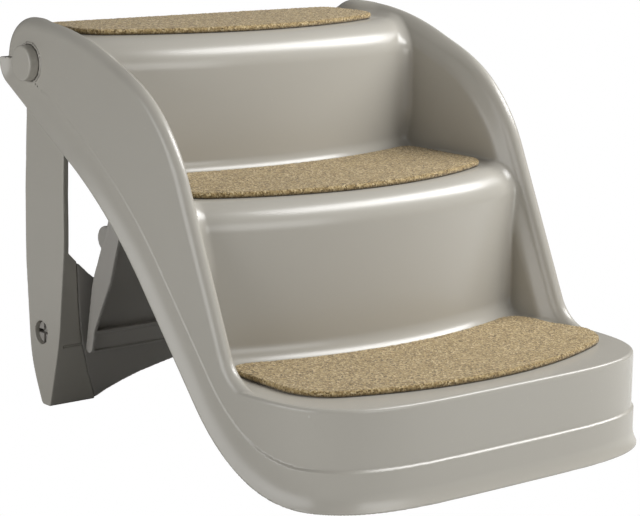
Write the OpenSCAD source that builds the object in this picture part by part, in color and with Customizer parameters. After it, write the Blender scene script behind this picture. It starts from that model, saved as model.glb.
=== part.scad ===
// Folding pet stairs with three carpeted treads.
// The frame stands with +Z up and +Y from the front to the back, and its
// origin is on the floor, under the middle of the whole object.
// Inside the modules Y is counted from the foremost point of the bottom lip.

/* [Treads] */
// Height of the lowest tread
tread1_z = 93; // [80:1:110]
// Height of the middle tread
tread2_z = 245; // [225:1:260]
// Height of the top tread
tread3_z = 381; // [365:1:383]
// Place of the lower riser's face at its middle
riser2_y = 177.5; // [165:0.5:190]
// Place of the upper riser's face at its middle
riser3_y = 347.5; // [335:0.5:355]
// How far the lower riser's ends lie behind its middle
riser2_bow = 39.7; // [30:0.1:45]
// How far the upper riser's ends lie behind its middle
riser3_bow = 36.6; // [28:0.1:42]
// Rounding of the lower nosing
nose2_r = 28; // [20:1:34]
// Rounding of the upper nosing
nose3_r = 32; // [24:1:38]
// Hollow rounding at the foot of each riser
foot_r = 10; // [6:1:14]
// Rear edge of the top tread
tread3_back_y = 509; // [504:1:512]

/* [Body] */
// Wall of the moulded body
wall_t = 4; // [3:0.5:5]
// Half of the width over the side walls
side_x = 216; // [210:1:225]
// Width of the rounded rim on each side wall
rim_w = 24; // [20:1:26]
// Rise of the rim's crest above the top tread
crest_rise = 15; // [11:0.5:21]
// Rounding of the rim's rear end, about the leg pivots
rear_r = 44.3; // [42:0.1:46]
// Rearmost reach of the side walls
side_back_y = 521; // [512:0.2:522]
// How far the lower band stands out of the wall
band_out = 3.5; // [2:0.5:5]
// How far the bottom lip stands out of the wall
lip_out = 6.5; // [5:0.5:8]
// Height of the band at the front
band_front_h = 38.7; // [30:0.1:45]
// Width of the band along the slanted lower edges
band_w = 30; // [24:1:34]
// Width of the bottom lip
lip_w = 8; // [6:0.5:10]
// Reach of the rounded front, from its middle to the platform's front edge
front_depth = 183.2; // [170:0.2:190]
// Rounding of the platform's edge
edge_r = 5; // [3:0.5:7]

/* [Carpet pads] */
// Thickness of the carpet pads
pad_t = 5.5; // [4:0.5:8]
// Half width of the lowest pad
pad1_half = 186; // [170:1:188]
// Clearance between the two upper pads and the side walls
pad_wall_gap = 8; // [4:0.5:22]
// Front of the lowest pad at its middle
pad1_front_y = 31; // [28:1:45]
// Front of the middle pad at its middle
pad2_front_y = 207; // [206:1:220]
// Front of the top pad at its middle
pad3_front_y = 380.5; // [380:0.5:395]
// Rear edge of the top pad
pad3_back_y = 503; // [490:1:504]

/* [Legs] */
// Place of the leg pivots
pivot_y = 474.8; // [472:0.2:477]
// How far the legs' rear edges lie behind their pivots
leg_back_reach = 48.2; // [46:0.2:50]
// Half of the width over the legs
leg_x = 190.5; // [188:0.5:191]
// Thickness of the leg plates
leg_t = 6.5; // [5:0.5:7]
// Skin of the leg strips and of the cross panel
strip_t = 4; // [3:0.5:5]
// Radius of the leg eyes
eye_r = 24; // [20:0.5:24.5]
// Radius of the pivot shafts
shaft_r = 8; // [6:0.5:9]
// Radius of the pivot caps
cap_r = 17.9; // [15:0.1:19]
// How far the pivot caps stand out of the walls
cap_out = 11; // [8:0.5:14]
// Running clearance of the shafts, on the radius
run_gap = 0.05; // [0.02:0.01:0.1]
// Place of the snap studs
stud_y = 494; // [490:1:496]
// Height of the snap studs
stud_z = 74; // [72:1:78]
// Radius of the snap stud holes in the legs
stud_hole_r = 12; // [10:0.5:12.5]

/* [Brace] */
// Half of the width of the brace
brace_x = 166; // [150:1:167]
// Skin of the brace
brace_t = 4; // [3:0.5:4.5]
// Place of the brace hinge
hinge_y = 388; // [386:0.5:390]
// Drop of the brace hinge below the middle tread
hinge_drop = 13; // [13:0.5:17]
// Radius of the brace hinge pins
hinge_r = 4; // [3:0.25:5]

/* [Hidden] */
// Parts of the assembly
$fn = 64;
// Turn from one point of an arc to the next, in degrees
arc_step = 9;
// Clearance between pieces that don't touch
gap = 0.3;
// Overrun of cuts
over = 10;
// Overlap of solids that are moulded as one
join = 1;
// Least rounding that counts as one
least_r = 0.001;

// Heights of the rim's crest, of the leg pivots and of the brace hinge
crest_z = tread3_z + crest_rise;
pivot_z = crest_z - rear_r;
hinge_z = tread2_z - hinge_drop;
// Whole length, from the bottom lip to the rear edges of the legs
leg_back_y = pivot_y + leg_back_reach;
overall_l = leg_back_y;
// Colours of the mouldings
body_colour = [0.63, 0.61, 0.57];
under_colour = [0.45, 0.44, 0.42];
carpet_colour = [0.62, 0.53, 0.38];
rubber_colour = [0.2, 0.2, 0.2];
metal_colour = [0.72, 0.73, 0.74];

// Arcs of the risers, seen from above
bow_half = 192;
riser2_r = bow_radius(bow_half, riser2_bow);
riser3_r = bow_radius(bow_half, riser3_bow);
riser2_c = riser2_y + riser2_r;
riser3_c = riser3_y + riser3_r;
// Half angle over which the risers are swept
sweep_angle = 28;

// Inner face of the side walls
inner_x = side_x - rim_w;
// Half width of the two upper pads
pad_half = inner_x - pad_wall_gap;
// Half width of the risers and the two upper treads, which end in the inner skins
floor_x = inner_x + wall_t - join;
// Where the lowest tread narrows to the same width, behind the feet of the rims
floor_narrow_y = 155;

// Side outline of the body: corners of the rim with their roundings
rim_foot = [145.5, tread1_z, 45];
knee_drop = 61;
rim_knee = [253, crest_z - knee_drop, 180];
rim_crest = [409, crest_z, 335];
rear_low_drop = 17.2;
rear_low_z = pivot_z - rear_low_drop;
rear_low_r = 26;
// Corners of the lower edge
sweep_low = [130, 0, 200];
bend_drop = 20.4;
sweep_bend = [328.8, tread2_z - bend_drop, 480];
// Crease that ends the band under the pivots
crease_drop = 23.7;
crease_z = pivot_z - crease_drop;
// Parts of the rim's half width at which its steps lie, and their drops as shares of it
rim_step_shares = [1, 0.93, 0.83, 0.66, 0.45, 0.22];
rim_drop_shares = [0.78, 0.53, 0.34, 0.17, 0.06, 0];
// Plan outline of the body
plan_mid_y = front_depth + lip_out;
plan_power = 4.4;
plan_points = 36;
// Where the straight side walls take over from the rounded front
wall_front_y = plan_mid_y - front_depth / 3;
// Extra thickness of the wall under the rim's top
rim_extra_t = 1.6;
// Steps of the platform's rounded edge, as shares of its rounding
edge_step_shares = [0, 0.35, 0.65, 0.87, 1];
// Ribs under the lowest tread
rib_x = 65;
rib_h = 30;
rib_back_y = 135;
// Bosses for the pivots and for the front feet
boss_r = 15;
boss_gap = 0.5;
bush_r = 10.5;
boss_end_x = leg_x + boss_gap;
ring_r = 20.5;
ring_out = 1.5;
base_foot_x = 125;
base_foot_y = 46;
base_foot_r = 11;
base_foot_h = 5;
base_stem_r = 4;
base_stem_h = 14;
// Skirt under the rear edge of the top tread
skirt_h = 20;

// Carpet pads: bows of their front edges and roundings of their corners
pad1_bow = 48;
pad2_bow = 52;
pad3_bow = 52;
pad1_corner_r = 30;
pad_corner_r = 16;
pad_gap = 0.5;

// Leg outline below the eye
leg_foot_front_y = 476;
leg_foot_back_y = 490;
leg_toe_r = 3;
leg_heel_r = 6;
leg_heel = [514, 45, 120];
leg_calf = [leg_back_y, 150, 300];
hip_drop = 33.7;
neck_drop = 6.7;
thigh_drop = 51.7;
leg_hip = [leg_back_y, pivot_z - hip_drop, 30];
leg_neck = [pivot_y + eye_r, pivot_z - neck_drop, 15];
leg_shin = [457.5, 75, 250];
leg_knee = [446.8, 170, 300];
leg_thigh = [450.4, pivot_z - thigh_drop, 300];
// Line along which the leg strips meet the cross panel, from the floor up
crease_x = [142, 156, 168, 174, 179, 182];
crease_h = [0, 32, 61, 80, 110, 150];
strip_top_z = 160;
strip_top_in_z = 152;
rear_flange_w = 12;
rear_flange_top_z = pivot_z - thigh_drop;
sole_t = 5;
foot_pad_t = 3;
foot_pad_in_x = 150;
foot_pad_out_x = 182;
foot_pad_front_y = 479;
foot_pad_back_y = 487;

// Cross panel between the legs
panel_top_x = [179, 160, 130, 90, 40, 0];
panel_top_h = [150, 134, 122, 114, 110, 109];
arch_x = [142, 130, 112, 90, 68, 40, 0];
arch_h = [1, 8, 15, 22, 27, 33, 36.5];
panel_rib_z = 104;
panel_rib_d = 16;
ear_t = 6;
ear_r = 13;
ear_low_z = 62;
ear_in_x = 156;
stud_r = 7;
stud_head_sink = 0.5;
stud_slot_w = 4;
stud_slot_d = 4.5;
latch_in_x = 78;
latch_out_x = 106;
latch_low_z = 68;
latch_high_z = 90;
tongue_t = 4;
tongue_high_z = 86;
tongue_reach = 5;
tongue_root_y = 448;
tongue_gap = 3;

// Brace outline
brace_end_r = 9;
brace_front_a = [391, 182, 200];
brace_front_b = [403, 137, 60];
brace_front_c = [438, 84, 40];
brace_low_front = [446, 62, 6];
brace_low_back = [456, 66, 4];
brace_back_a = [438, 132, 80];
brace_back_b = [417, 172, 60];
brace_back_c = [406, 205, 60];
lobe_y = 416;
lobe_z = 177;
lobe_r = 10;
ridge_z = 95;
hinge_boss_t = 8;
bracket_t = 6;
bracket_front_y = 330;
bracket_rear_y = 366;
bracket_plate_in_x = 145;
bracket_plate_t = 4;
bracket_screw_x = 154;
bracket_screw_front_y = 338;
bracket_screw_back_y = 357;
bracket_screw_r = 1.75;
bracket_head_r = 4;
bracket_head_h = 2.2;
bracket_screw_l = 7;
hinge_head_r = 6.5;
hinge_head_h = 3;
hinge_end_l = 4;

// Small parts of the pivots
washer_r = 13;
washer_t = 1.6;
pivot_screw_r = 2.5;
pivot_screw_l = 16;
pivot_head_r = 5.5;
pivot_head_h = 3.6;
socket_w = 4;
socket_d = 2;
cap_edge_r = 3;

// Radius of an arc of half width w whose ends lie b behind its middle
function bow_radius(w, b) = (w * w + b * b) / (2 * b);
function flat(c) = [c[0], c[1]];
function unit(v) = v / norm(v);
function left_of(v) = [-v[1], v[0]];
function cross2(a, b) = a[0] * b[1] - a[1] * b[0];
// Crossing of the line through p along u with the line through q along v
function crossing(p, u, q, v) = p + u * cross2(q - p, v) / cross2(u, v);
// Corner q, between p and s, after both of its edges have moved inwards
function moved_corner(p, q, s, before, after) =
    let (u = unit(flat(q) - flat(p)), v = unit(flat(s) - flat(q)),
         b = crossing(flat(p) + left_of(u) * before, u, flat(s) + left_of(v) * after, v),
         turn = cross2(u, v) > 0 ? -1 : 1)
    [b[0], b[1], q[2] == 0 ? 0 : max(q[2] + turn * (before + after) / 2, q[2] / 20)];
// Closed list of corners with its edges moved inwards by their own distances
function inset_edges(c, d) = [for (i = [0:len(c) - 1])
    moved_corner(c[(i + len(c) - 1) % len(c)], c[i], c[(i + 1) % len(c)],
        d[(i + len(c) - 1) % len(c)], d[i])];
// Points of the arc that rounds corner q, between p and s
function corner_arc(p, q, s) =
    let (b = flat(q), u = unit(flat(p) - b), v = unit(flat(s) - b), half = acos(u * v) / 2,
         t = q[2] / tan(half), centre = b + unit(u + v) * q[2] / sin(half),
         first = b + u * t - centre, last = b + v * t - centre,
         a = atan2(first[1], first[0]), turn = (atan2(last[1], last[0]) - a + 540) % 360 - 180,
         n = max(2, ceil(abs(turn) / arc_step)))
    [for (k = [0:n]) centre + q[2] * [cos(a + turn * k / n), sin(a + turn * k / n)]];
// Length that the rounding of corner i takes from each of its edges
function corner_reach(c, i) =
    let (b = flat(c[i]), u = unit(flat(c[(i + len(c) - 1) % len(c)]) - b),
         v = unit(flat(c[(i + 1) % len(c)]) - b))
    c[i][2] / tan(acos(u * v) / 2);
// The same list of corners, with roundings that its edges have room for
function fitted(c) = [for (i = [0:len(c) - 1])
    let (before = (i + len(c) - 1) % len(c), after = (i + 1) % len(c),
         reach = max(corner_reach(c, i), least_r),
         room_before = norm(flat(c[i]) - flat(c[before])) / (reach + corner_reach(c, before)),
         room_after = norm(flat(c[i]) - flat(c[after])) / (reach + corner_reach(c, after)))
    [c[i][0], c[i][1], c[i][2] * min(1, 0.99 * room_before, 0.99 * room_after)]];
// Points of a closed outline with rounded corners
function rounded(corners) = let (c = fitted(corners), n = len(c)) [for (i = [0:n - 1])
    each c[i][2] == 0 ? [flat(c[i])]
        : corner_arc(c[(i + n - 1) % n], c[i], c[(i + 1) % n])];
// Half of the plan: a full, nearly square front that runs straight back
function plan_outline(half_w, depth, back) = concat(
    [for (i = [0:plan_points]) let (a = 180 + 180 * i / plan_points)
        [half_w * sign(cos(a)) * pow(abs(cos(a)), 2 / plan_power),
         plan_mid_y - depth * pow(abs(sin(a)), 2 / plan_power)]],
    [[half_w, back], [-half_w, back]]);

// Side outline, counterclockwise with Y to the right and Z up
side_corners = [[-over, 0, 0], sweep_low, sweep_bend, [side_back_y, rear_low_z, rear_low_r],
    [side_back_y, crest_z, rear_r], rim_crest, rim_knee, rim_foot, [-over, tread1_z, 0]];
// The same outline with only its upper edges drawn in by d
function rim_outline(d) = rounded(inset_edges(side_corners, [0, 0, 0, d, d, d, d, d, 0]));
// The space between a wall's skins: open below, and under the lowest tread in front
function rim_core(d) = rounded(inset_edges(side_corners,
    [-over, -over, -over, d, d, d, d, d, wall_t]));

module placed() { translate([0, -overall_l / 2, 0]) children(); }

// Extrudes a YZ outline along X, from one place to another
module along_x(from, to) {
    translate([from, 0, 0]) rotate([90, 0, 90]) linear_extrude(to - from) children();
}

// The same on the left, which is -X, or on the right
module side_slab(s, in, out) {
    if (s < 0) along_x(-out, -in) children(); else along_x(in, out) children();
}

// Round bar along X on one side
module side_bar(s, in, out, y, z, r) {
    translate([s < 0 ? -out : in, y, z]) rotate([0, 90, 0]) cylinder(h = out - in, r = r);
}

// One side wall: a stepped solid under its rounded rim, hollowed from below
module side_wall(s) {
    mid = side_x - rim_w / 2;
    half = rim_w / 2;
    n = len(rim_step_shares);
    difference() {
        for (i = [0:n - 1]) {
            far = rim_step_shares[i] * half;
            near = i < n - 1 ? rim_step_shares[i + 1] * half : 0;
            for (place = [[mid + near, mid + far], [mid - far, mid - near]])
                side_slab(s, place[0], place[1]) intersection() {
                    polygon(rim_outline(rim_drop_shares[i] * half));
                    translate([wall_front_y, 0]) square([overall_l, crest_z]);
                }
        }
        side_slab(s, inner_x + wall_t, side_x - wall_t)
            polygon(rim_core(wall_t + rim_extra_t));
        side_slab(s, inner_x - over, inner_x + 2 * wall_t) under_stairs();
    }
}

// Everything below the undersides of the treads, along the inner face of a wall
module under_stairs() {
    low2 = riser2_y + riser2_bow + wall_t;
    low3 = riser3_y + riser3_bow + wall_t;
    polygon([[-2 * over, -2 * over], [overall_l + over, -2 * over],
        [overall_l + over, tread3_z - wall_t], [low3, tread3_z - wall_t],
        [low3, tread2_z - wall_t], [low2, tread2_z - wall_t],
        [low2, tread1_z - wall_t], [-2 * over, tread1_z - wall_t]]);
}

// Shell that follows the plan, from the inner face outwards by a thickness
module plan_shell(out, thick, low, high) {
    translate([0, 0, low]) linear_extrude(high - low) difference() {
        polygon(plan_outline(side_x + out, front_depth + out, overall_l + over));
        polygon(plan_outline(side_x + out - thick, front_depth + out - thick,
            overall_l + 2 * over));
    }
}

// Front skin, below the platform's rounded edge
module front_skin() {
    intersection() {
        plan_shell(0, wall_t, 0, tread1_z - edge_r + join);
        along_x(-side_x - over, side_x + over) intersection() {
            polygon(rim_outline(0));
            square([wall_front_y + join, crest_z]);
        }
    }
}

// Region of the band: along the lower edge, and under the crease at the rear
module band_outline() {
    top = inset_edges(side_corners, [band_front_h, band_w, band_w, 0, 0, 0, 0, 0, 0]);
    bend = crossing(flat(top[2]), flat(top[3]) - flat(top[2]), [0, crease_z], [1, 0]);
    intersection() {
        polygon(rounded(side_corners));
        polygon(rounded([[-2 * over, -over, 0], [overall_l + over, -over, 0],
            [overall_l + over, crease_z, 0], [bend[0], bend[1], 2 * band_w], top[2], top[1],
            [-2 * over, band_front_h, 0]]));
    }
}

// Region of the lip: along the lower edge and round the rear end, up to the pivot
module lip_outline() {
    difference() {
        polygon(rounded(side_corners));
        polygon(rounded(inset_edges(side_corners,
            [lip_w, lip_w, lip_w, lip_w, -over, -over, -over, -over, -over])));
        translate([-2 * over, pivot_z]) square([overall_l + 3 * over, crest_z]);
    }
}

// Raised band along the lower edge, and the lip on it
module lower_band() {
    intersection() {
        plan_shell(band_out, band_out + join, 0, crest_z);
        along_x(-side_x - over, side_x + over) band_outline();
    }
    intersection() {
        plan_shell(lip_out, lip_out + 2 * join, 0, crest_z);
        along_x(-side_x - over, side_x + over) lip_outline();
    }
}

// Riser with its nosing and its hollow foot, as a wall of one thickness
module riser(radius, centre, low, high, nose) {
    arc = [for (k = [0:8]) 90 * k / 8];
    out_side = concat([[radius + foot_r + join, low]],
        [for (a = arc) [radius + foot_r - foot_r * sin(a), low + foot_r - foot_r * cos(a)]],
        [for (a = arc) [radius - nose + nose * cos(a), high - nose + nose * sin(a)]],
        [[radius - nose - join, high]]);
    in_r = nose - wall_t;
    turn_r = foot_r + wall_t;
    in_side = concat([[radius - nose - join, high - wall_t]],
        [for (k = [8:-1:0]) [radius - nose + in_r * cos(arc[k]), high - nose + in_r * sin(arc[k])]],
        [for (k = [8:-1:0]) [radius + foot_r - turn_r * sin(arc[k]),
            low + foot_r - turn_r * cos(arc[k])]],
        [[radius + foot_r + join, low - wall_t]]);
    intersection() {
        translate([0, centre, 0]) rotate([0, 0, -90 - sweep_angle])
            rotate_extrude(angle = 2 * sweep_angle, $fn = 96) polygon(concat(out_side, in_side));
        translate([-floor_x, 0, 0]) cube([2 * floor_x, overall_l, crest_z]);
    }
}

// Treads as slabs between the risers' arcs
module treads() {
    n = len(edge_step_shares);
    for (i = [0:n - 2]) {
        rise = edge_step_shares[i];
        drop = edge_r * (1 - sqrt(1 - rise * rise));
        low = tread1_z - edge_r + edge_r * rise;
        high = tread1_z - edge_r + edge_r * edge_step_shares[i + 1];
        translate([0, 0, low]) linear_extrude(high - low) difference() {
            polygon(plan_outline(side_x - drop, front_depth - drop, riser2_c));
            translate([0, riser2_c]) circle(r = riser2_r + foot_r, $fn = 96);
            for (s = [-1, 1])
                translate([s > 0 ? floor_x : -side_x + wall_t, floor_narrow_y])
                    square([side_x - wall_t - floor_x, overall_l]);
        }
    }
    translate([0, 0, tread2_z - wall_t]) linear_extrude(wall_t) intersection() {
        difference() {
            translate([0, riser2_c]) circle(r = riser2_r - nose2_r, $fn = 96);
            translate([0, riser3_c]) circle(r = riser3_r + foot_r, $fn = 96);
        }
        translate([-floor_x, 0]) square([2 * floor_x, overall_l]);
    }
    translate([0, 0, tread3_z - wall_t]) linear_extrude(wall_t) intersection() {
        translate([0, riser3_c]) circle(r = riser3_r - nose3_r, $fn = 96);
        translate([-floor_x, 0]) square([2 * floor_x, tread3_back_y]);
    }
    translate([-inner_x - join, tread3_back_y - wall_t, tread3_z - skirt_h])
        cube([2 * (inner_x + join), wall_t, skirt_h - join]);
}

module stair_body() {
    color(body_colour) placed() difference() {
        union() {
            for (s = [-1, 1]) {
                side_wall(s);
                side_bar(s, boss_end_x, side_x - join, pivot_y, pivot_z, boss_r);
                side_bar(s, side_x - join, side_x + ring_out, pivot_y, pivot_z, ring_r);
                side_slab(s, boss_end_x, side_x - join)
                    translate([pivot_y - wall_t / 2, pivot_z + boss_r - join])
                    square([wall_t, tread3_z - pivot_z - boss_r]);
                translate([s * rib_x - wall_t / 2, plan_mid_y - front_depth + join,
                    tread1_z - wall_t - rib_h])
                    cube([wall_t, rib_back_y - plan_mid_y + front_depth, rib_h + join]);
                translate([s * base_foot_x, base_foot_y, base_foot_h])
                    cylinder(h = tread1_z - wall_t - base_foot_h + join, r = base_foot_r);
            }
            front_skin();
            lower_band();
            treads();
            riser(riser2_r, riser2_c, tread1_z, tread2_z, nose2_r);
            riser(riser3_r, riser3_c, tread2_z, tread3_z, nose3_r);
        }
        for (s = [-1, 1]) {
            side_bar(s, boss_end_x - over, side_x + over, pivot_y, pivot_z, bush_r);
            side_bar(s, side_x, side_x + over, pivot_y, pivot_z, cap_r + gap);
            translate([s * base_foot_x, base_foot_y, base_foot_h - join])
                cylinder(h = base_stem_h + join, r = base_stem_r);
            for (y = [bracket_screw_front_y, bracket_screw_back_y])
                translate([s * bracket_screw_x, y, tread2_z - wall_t - join])
                    cylinder(h = bracket_screw_l - bracket_plate_t + join, r = bracket_screw_r);
        }
    }
}

// Carpet pad between a bowed front edge and a riser's arc or a straight rear edge
module carpet_pad(low, half_w, front, bow, corner, rear_c, rear_r, back) {
    front_r = bow_radius(bow_half, bow);
    color(carpet_colour) placed() translate([0, 0, low]) linear_extrude(pad_t)
        offset(r = corner, $fn = 48) offset(delta = -corner) intersection() {
            difference() {
                translate([0, front + front_r]) circle(r = front_r, $fn = 128);
                translate([0, rear_c]) circle(r = rear_r + foot_r + pad_gap, $fn = 128);
            }
            translate([-half_w, 0]) square([2 * half_w, back]);
        }
}

module tread_pad_lower() {
    carpet_pad(tread1_z, pad1_half, pad1_front_y, pad1_bow, pad1_corner_r,
        riser2_c, riser2_r, overall_l);
}

module tread_pad_middle() {
    carpet_pad(tread2_z, pad_half, pad2_front_y, pad2_bow, pad_corner_r,
        riser3_c, riser3_r, overall_l);
}

module tread_pad_upper() {
    carpet_pad(tread3_z, pad_half, pad3_front_y, pad3_bow, pad_corner_r,
        3 * overall_l, riser3_r, pad3_back_y);
}

// Side outline of a leg
module leg_outline() {
    polygon(rounded([[leg_foot_front_y, 0, leg_toe_r], [leg_foot_back_y, 0, leg_heel_r],
        leg_heel, leg_calf, leg_hip, leg_neck,
        [pivot_y + eye_r, pivot_z + eye_r, eye_r], [pivot_y - eye_r, pivot_z + eye_r, eye_r],
        leg_thigh, leg_knee, leg_shin]));
}

// Skin along the front edge of the leg outline, at a depth behind it
module leg_front_skin(depth, thick) {
    difference() {
        translate([depth, 0]) leg_outline();
        translate([depth + thick, 0]) leg_outline();
    }
}

// Extrudes an XZ outline along Y, through the whole depth
module along_y() {
    translate([0, overall_l + over, 0]) rotate([90, 0, 0])
        linear_extrude(overall_l + 2 * over) children();
}

// Leg on side s: outer plate, front strip with a spread foot, rear flange and sole
module leg(s) {
    color(body_colour) placed() difference() {
        union() {
            side_slab(s, leg_x - leg_t, leg_x) leg_outline();
            intersection() {
                side_slab(s, crease_x[0], leg_x - join) union() {
                    leg_front_skin(0, strip_t);
                    intersection() {
                        leg_outline();
                        square([overall_l, sole_t]);
                    }
                }
                along_y() polygon(concat(
                    [for (i = [0:len(crease_x) - 1]) [s * crease_x[i], crease_h[i]]],
                    [[s * crease_x[len(crease_x) - 1], strip_top_in_z],
                    [s * leg_x, strip_top_z], [s * leg_x, 0]]));
            }
            side_slab(s, leg_x - leg_t - rear_flange_w, leg_x - join) intersection() {
                leg_front_skin(-strip_t, strip_t);
                translate([pivot_y, -over]) square([overall_l, over]);
            }
            side_slab(s, leg_x - leg_t - rear_flange_w, leg_x - join) difference() {
                leg_outline();
                translate([-strip_t, 0]) leg_outline();
                translate([0, rear_flange_top_z]) square([overall_l, overall_l]);
                translate([0, -over]) square([overall_l, over + leg_heel_r]);
            }
        }
        side_bar(s, leg_x - leg_t - over, leg_x + over, pivot_y, pivot_z, shaft_r);
        side_bar(s, leg_x - leg_t - join, leg_x + over, stud_y, stud_z, stud_hole_r);
        translate([s > 0 ? foot_pad_in_x : -foot_pad_out_x, foot_pad_front_y, -over])
            cube([foot_pad_out_x - foot_pad_in_x, foot_pad_back_y - foot_pad_front_y,
                over + foot_pad_t]);
    }
}

module leg_left() { leg(-1); }

module leg_right() { leg(1); }

// Panel that joins the legs, arched below, with ears for the snap studs
module leg_cross_panel() {
    n = len(crease_x);
    right = concat([for (i = [len(arch_x) - 1:-1:0]) [max(arch_x[i] - gap, 0), arch_h[i]]],
        [for (i = [1:n - 2]) [crease_x[i] - gap, crease_h[i]]],
        [for (i = [0:len(panel_top_x) - 1]) [max(panel_top_x[i] - gap, 0), panel_top_h[i]]]);
    left = [for (i = [len(right) - 2:-1:1]) [-right[i][0], right[i][1]]];
    color(under_colour) placed() difference() {
        union() {
            intersection() {
                along_x(-leg_x, leg_x) leg_front_skin(0, strip_t);
                along_y() polygon(concat(right, left));
            }
            along_x(-ear_in_x, ear_in_x) intersection() {
                leg_front_skin(strip_t - join, panel_rib_d);
                translate([0, panel_rib_z - strip_t]) square([overall_l, strip_t]);
            }
            for (s = [-1, 1]) {
                side_slab(s, ear_in_x, leg_x - leg_t - gap) intersection() {
                    leg_front_skin(strip_t + gap, strip_t);
                    ear_band();
                }
                side_slab(s, ear_in_x - strip_t, ear_in_x + strip_t) intersection() {
                    leg_front_skin(strip_t - join, strip_t + join + gap);
                    ear_band();
                }
                side_slab(s, leg_x - leg_t - gap - ear_t, leg_x - leg_t - gap) difference() {
                    union() {
                        translate([stud_y, stud_z]) circle(r = ear_r);
                        intersection() {
                            translate([strip_t + gap, 0]) leg_outline();
                            ear_band();
                            square([stud_y, crest_z]);
                        }
                    }
                    translate([stud_y, stud_z]) circle(r = stud_r);
                }
            }
        }
        for (s = [-1, 1])
            translate([s > 0 ? latch_in_x : -latch_out_x, 0, latch_low_z])
                cube([latch_out_x - latch_in_x, overall_l, latch_high_z - latch_low_z]);
    }
}

// Heights between which the ears join the panel
module ear_band() {
    translate([0, ear_low_z]) square([overall_l, 2 * (stud_z - ear_low_z)]);
}

// Split stud that snaps the panel's ear to the leg
module snap_stud(s) {
    far = leg_x - stud_head_sink;
    color(under_colour) placed() difference() {
        union() {
            side_bar(s, leg_x - leg_t - gap - ear_t - strip_t, leg_x - leg_t,
                stud_y, stud_z, stud_r);
            side_bar(s, leg_x - leg_t, far, stud_y, stud_z, stud_hole_r - gap);
        }
        for (a = [0, 90])
            translate([s * far, stud_y, stud_z]) rotate([a, 0, 0])
                cube([2 * stud_slot_d, 3 * stud_hole_r, stud_slot_w], center = true);
    }
}

module snap_stud_left() { snap_stud(-1); }

module snap_stud_right() { snap_stud(1); }

// Shaft with a round cap; the shaft turns in the body's bush and is fast in the leg
module pivot_cap(s) {
    near = leg_x - leg_t;
    color(body_colour) placed() difference() {
        union() {
            side_bar(s, near, side_x + join, pivot_y, pivot_z, shaft_r);
            translate([s * (side_x + gap), pivot_y, pivot_z]) rotate([0, s * 90, 0])
                rotate_extrude() polygon(concat([[0, 0], [cap_r, 0]],
                    [for (k = [0:6]) [cap_r - cap_edge_r + cap_edge_r * cos(15 * k),
                        cap_out - gap - cap_edge_r + cap_edge_r * sin(15 * k)]],
                    [[0, cap_out - gap]]));
        }
        side_bar(s, near - over, near + pivot_screw_l, pivot_y, pivot_z, pivot_screw_r);
    }
}

module pivot_cap_left() { pivot_cap(-1); }

module pivot_cap_right() { pivot_cap(1); }

// Plain bush, pressed into the body's boss
module pivot_bush(s) {
    color(metal_colour) placed() difference() {
        side_bar(s, boss_end_x, side_x, pivot_y, pivot_z, bush_r);
        side_bar(s, boss_end_x - over, side_x + over, pivot_y, pivot_z, shaft_r + run_gap);
    }
}

module pivot_bush_left() { pivot_bush(-1); }

module pivot_bush_right() { pivot_bush(1); }

// Washer on the inner face of a leg's eye
module pivot_washer(s) {
    near = leg_x - leg_t;
    color(metal_colour) placed() difference() {
        side_bar(s, near - washer_t, near, pivot_y, pivot_z, washer_r);
        side_bar(s, near - over, near + over, pivot_y, pivot_z, pivot_screw_r);
    }
}

module pivot_washer_left() { pivot_washer(-1); }

module pivot_washer_right() { pivot_washer(1); }

// Socket screw that holds the washer on the shaft's end
module pivot_screw(s) {
    near = leg_x - leg_t - washer_t;
    color(metal_colour) placed() difference() {
        union() {
            side_bar(s, near, leg_x - leg_t + pivot_screw_l - join, pivot_y, pivot_z,
                pivot_screw_r);
            side_bar(s, near - pivot_head_h, near, pivot_y, pivot_z, pivot_head_r);
        }
        translate([s * (near - pivot_head_h), pivot_y, pivot_z]) rotate([0, 90, 0])
            cylinder(h = 2 * socket_d, d = socket_w, $fn = 6, center = true);
    }
}

module pivot_screw_left() { pivot_screw(-1); }

module pivot_screw_right() { pivot_screw(1); }

// Side outline of the brace, with its round hinge end and its finger lobe
module brace_outline() {
    polygon(rounded([brace_low_front, brace_low_back, brace_back_a, brace_back_b, brace_back_c,
        [hinge_y + brace_end_r, hinge_z + brace_end_r, brace_end_r],
        [hinge_y - brace_end_r, hinge_z + brace_end_r, brace_end_r],
        brace_front_a, brace_front_b, brace_front_c]));
}

// Tray-shaped brace: rear skin, side flanges, a closed lower beam and latch tongues
module brace_panel() {
    color(under_colour) placed() difference() {
        union() {
            along_x(-brace_x, brace_x) difference() {
                brace_outline();
                translate([-brace_t, 0]) brace_outline();
                translate([0, hinge_z - brace_end_r]) square([overall_l, overall_l]);
            }
            along_x(-brace_x, brace_x) intersection() {
                difference() {
                    brace_outline();
                    translate([brace_t, 0]) brace_outline();
                }
                square([overall_l, ridge_z]);
            }
            along_x(-brace_x, brace_x) intersection() {
                brace_outline();
                square([overall_l, brace_low_back[1] + join]);
            }
            along_x(-brace_x, brace_x) intersection() {
                brace_outline();
                translate([0, ridge_z - brace_t]) square([overall_l, brace_t]);
            }
            for (s = [-1, 1]) {
                side_slab(s, brace_x - brace_t, brace_x) {
                    brace_outline();
                    translate([lobe_y, lobe_z]) circle(r = lobe_r);
                }
                side_bar(s, brace_x - hinge_boss_t, brace_x, hinge_y, hinge_z, brace_end_r);
                side_slab(s, latch_in_x + tongue_gap, latch_out_x - tongue_gap)
                    intersection() {
                        translate([tongue_root_y, tongue_high_z - tongue_t])
                            square([leg_shin[0] + tongue_reach + strip_t - tongue_root_y,
                                tongue_t]);
                        square([overall_l, crest_z]);
                    }
            }
        }
        for (s = [-1, 1])
            side_bar(s, brace_x - hinge_boss_t - over, brace_x + over, hinge_y, hinge_z,
                hinge_r + run_gap);
    }
}

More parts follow.
